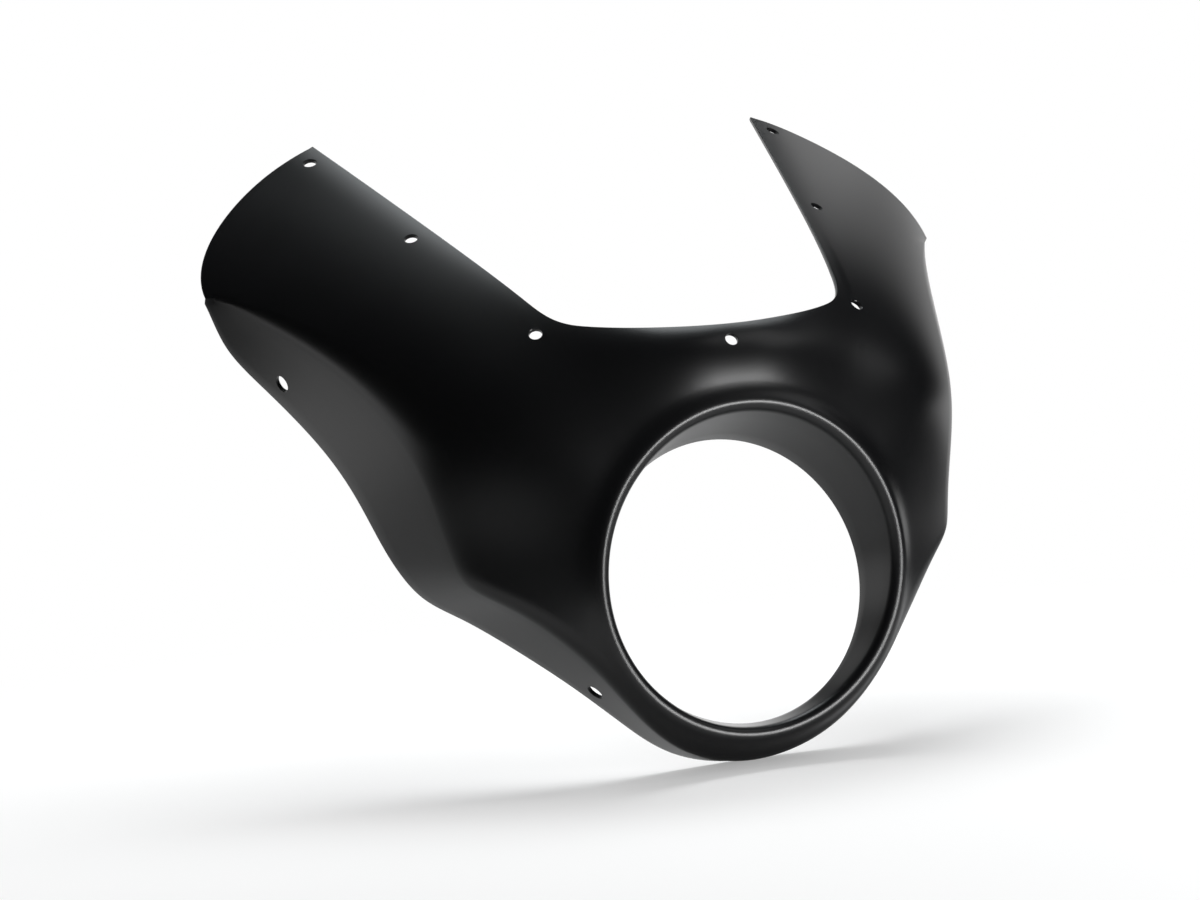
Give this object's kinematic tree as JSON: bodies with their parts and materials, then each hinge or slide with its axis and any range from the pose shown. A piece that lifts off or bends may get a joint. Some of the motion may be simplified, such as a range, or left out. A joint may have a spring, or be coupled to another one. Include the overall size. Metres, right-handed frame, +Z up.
{
  "type": "motorcycle semi-fairing",
  "caption": "Moulded semi-fairing shell with a round headlight collar, rolled rim, swept wings, folded lower flanks and screw holes for a windscreen and side brackets.",
  "frame": {"origin": "centre of the headlight rim's crest circle", "axes": "-Y points out of the headlight to the motorcycle's front, +Z up, +X towards the rider's left; the YZ plane is the mirror plane"},
  "size_m": [0.522, 0.2831, 0.399],
  "materials": {
    "satin_black": "satin moulded black plastic with a soft sheen"
  },
  "bodies": {
    "root": {"fairing_shell": "satin_black"}
  },
  "joints": []
}
